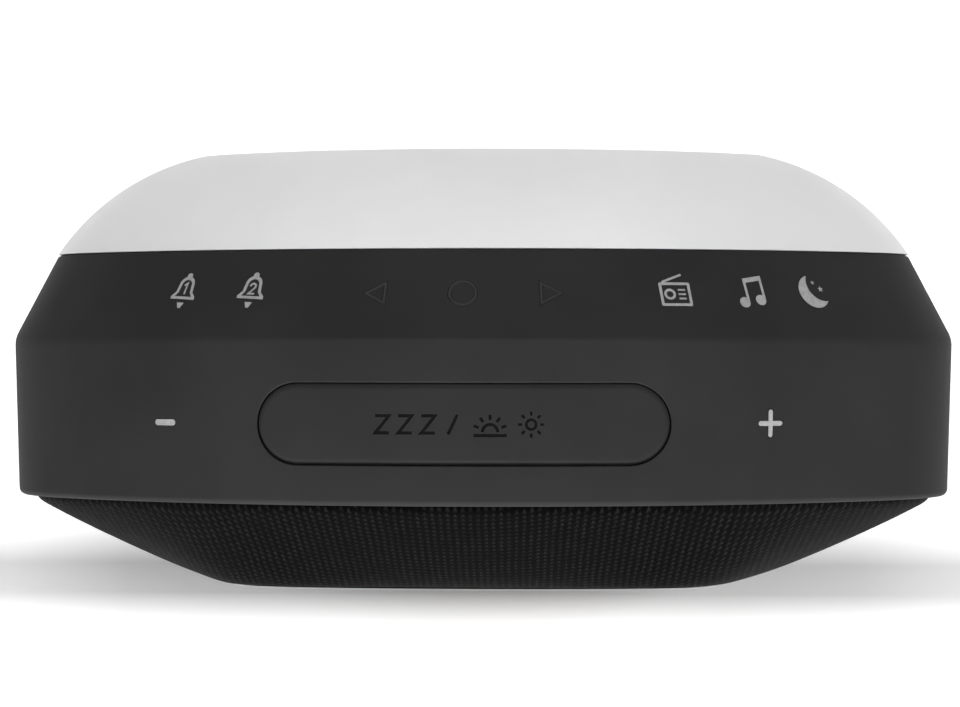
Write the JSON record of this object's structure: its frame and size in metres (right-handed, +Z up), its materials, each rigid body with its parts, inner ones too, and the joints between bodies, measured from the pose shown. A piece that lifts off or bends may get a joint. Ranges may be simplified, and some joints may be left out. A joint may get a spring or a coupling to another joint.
{
  "type": "sunrise alarm clock",
  "caption": "Arched bedside alarm clock with a dark band of keys and a snooze bar on top, a cloth-covered front with a display window, speakers inside, and a white sunrise light behind.",
  "frame": {"origin": "on the table plane, below the centre of the bounding box", "axes": "+Z up, -Y towards the display and the user, +Y towards the light and the sockets, +X to the user's right"},
  "size_m": [0.184, 0.0836, 0.103],
  "materials": {
    "case_plastic": "fine satin texture, graphite",
    "mark_plastic": "satin, mid grey",
    "light_plastic": "frosted translucent white",
    "back_plastic": "fine texture, dark",
    "inner_plastic": "plain moulded",
    "cloth": "knitted speaker cloth, black",
    "smoked_lens": "polished smoked acrylic",
    "display": "dark display module",
    "black_rubber": "soft matt",
    "foam": "closed-cell foam",
    "cone_paper": "black coated paper",
    "magnet_steel": "zinc-plated",
    "green_board": "glass epoxy with green mask",
    "white_board": "white solder mask",
    "light_chip": "yellow phosphor",
    "white_plastic": "white reflective",
    "chip_resin": "moulded epoxy",
    "sheet_steel": "tinned sheet",
    "capacitor_can": "blue sleeve on aluminium",
    "socket_plastic": "moulded nylon",
    "holder_plastic": "moulded, natural",
    "switch_body": "small switches",
    "flex_circuit": "amber polyimide",
    "flat_cable": "flat flexible cable",
    "lead_sleeve": "insulated leads",
    "outer_screws": "black zinc",
    "inner_screws": "zinc-plated"
  },
  "bodies": {
    "case": {"housing": "case_plastic", "diffuser": "light_plastic", "light_gasket": "black_rubber", "rear_panel": "back_plastic", "base_cover": "back_plastic", "foot_pad": "black_rubber", "grille_frame": "inner_plastic", "grille_fabric": "cloth", "display_window": "smoked_lens", "display_panel": "display", "display_board": "green_board", "baffle": "inner_plastic", "left_driver_frame": "inner_plastic", "left_driver_cone": "cone_paper", "left_driver_surround": "black_rubber", "left_driver_magnet": "magnet_steel", "right_driver_frame": "inner_plastic", "right_driver_cone": "cone_paper", "right_driver_surround": "black_rubber", "right_driver_magnet": "magnet_steel", "driver_gaskets": "foam", "key_carrier": "inner_plastic", "key_circuit": "flex_circuit", "key_switches": "switch_body", "light_board": "white_board", "light_chips": "light_chip", "light_reflector": "white_plastic", "main_board": "green_board", "processor": "chip_resin", "amplifier": "chip_resin", "radio_shield": "sheet_steel", "capacitors": "capacitor_can", "dc_jack": "socket_plastic", "usb_sockets": "sheet_steel", "aux_socket": "socket_plastic", "cell_holder": "holder_plastic", "coin_cell": "sheet_steel", "display_ribbon": "flat_cable", "key_ribbon": "flat_cable", "driver_leads": "lead_sleeve", "light_lead": "lead_sleeve", "rear_screws": "outer_screws", "base_screws": "outer_screws", "baffle_screws": "inner_screws", "driver_screws": "inner_screws", "board_screws": "inner_screws", "carrier_screws": "inner_screws", "light_screws": "inner_screws"},
    "snooze_bar": {"snooze_bar": "case_plastic"},
    "minus_key": {"minus_key": "mark_plastic"},
    "plus_key": {"plus_key": "mark_plastic"},
    "alarm_1_key": {"alarm_1_key": "mark_plastic"},
    "alarm_2_key": {"alarm_2_key": "mark_plastic"},
    "previous_key": {"previous_key": "case_plastic"},
    "play_key": {"play_key": "case_plastic"},
    "next_key": {"next_key": "case_plastic"},
    "radio_key": {"radio_key": "mark_plastic"},
    "source_key": {"source_key": "mark_plastic"},
    "sleep_key": {"sleep_key": "mark_plastic"}
  },
  "joints": [
    {"name": "snooze_bar_press", "type": "slide", "parent": "case", "child": "snooze_bar", "axis": [0, 0, -1], "range_m": [0, 0.0007], "stiffness_N_per_m": 1500},
    {"name": "minus_press", "type": "slide", "parent": "case", "child": "minus_key", "axis": [0.5162, 0.029, -0.856], "range_m": [0, 0.0005], "stiffness_N_per_m": 600},
    {"name": "plus_press", "type": "slide", "parent": "case", "child": "plus_key", "axis": [-0.5162, 0.029, -0.856], "range_m": [0, 0.0005], "stiffness_N_per_m": 600},
    {"name": "alarm_1_press", "type": "slide", "parent": "case", "child": "alarm_1_key", "axis": [0.4476, -0.4664, -0.763], "range_m": [0, 0.0005], "stiffness_N_per_m": 600},
    {"name": "alarm_2_press", "type": "slide", "parent": "case", "child": "alarm_2_key", "axis": [0.3342, -0.4664, -0.819], "range_m": [0, 0.0005], "stiffness_N_per_m": 600},
    {"name": "previous_press", "type": "slide", "parent": "case", "child": "previous_key", "axis": [0.1369, -0.4664, -0.8739], "range_m": [0, 0.0005], "stiffness_N_per_m": 600},
    {"name": "play_press", "type": "slide", "parent": "case", "child": "play_key", "axis": [0, -0.4664, -0.8846], "range_m": [0, 0.0005], "stiffness_N_per_m": 600},
    {"name": "next_press", "type": "slide", "parent": "case", "child": "next_key", "axis": [-0.1369, -0.4664, -0.8739], "range_m": [0, 0.0005], "stiffness_N_per_m": 600},
    {"name": "radio_press", "type": "slide", "parent": "case", "child": "radio_key", "axis": [-0.3263, -0.4664, -0.8222], "range_m": [0, 0.0005], "stiffness_N_per_m": 600},
    {"name": "source_press", "type": "slide", "parent": "case", "child": "source_key", "axis": [-0.4429, -0.4664, -0.7657], "range_m": [0, 0.0005], "stiffness_N_per_m": 600},
    {"name": "sleep_press", "type": "slide", "parent": "case", "child": "sleep_key", "axis": [-0.5439, -0.4664, -0.6976], "range_m": [0, 0.0005], "stiffness_N_per_m": 600}
  ]
}
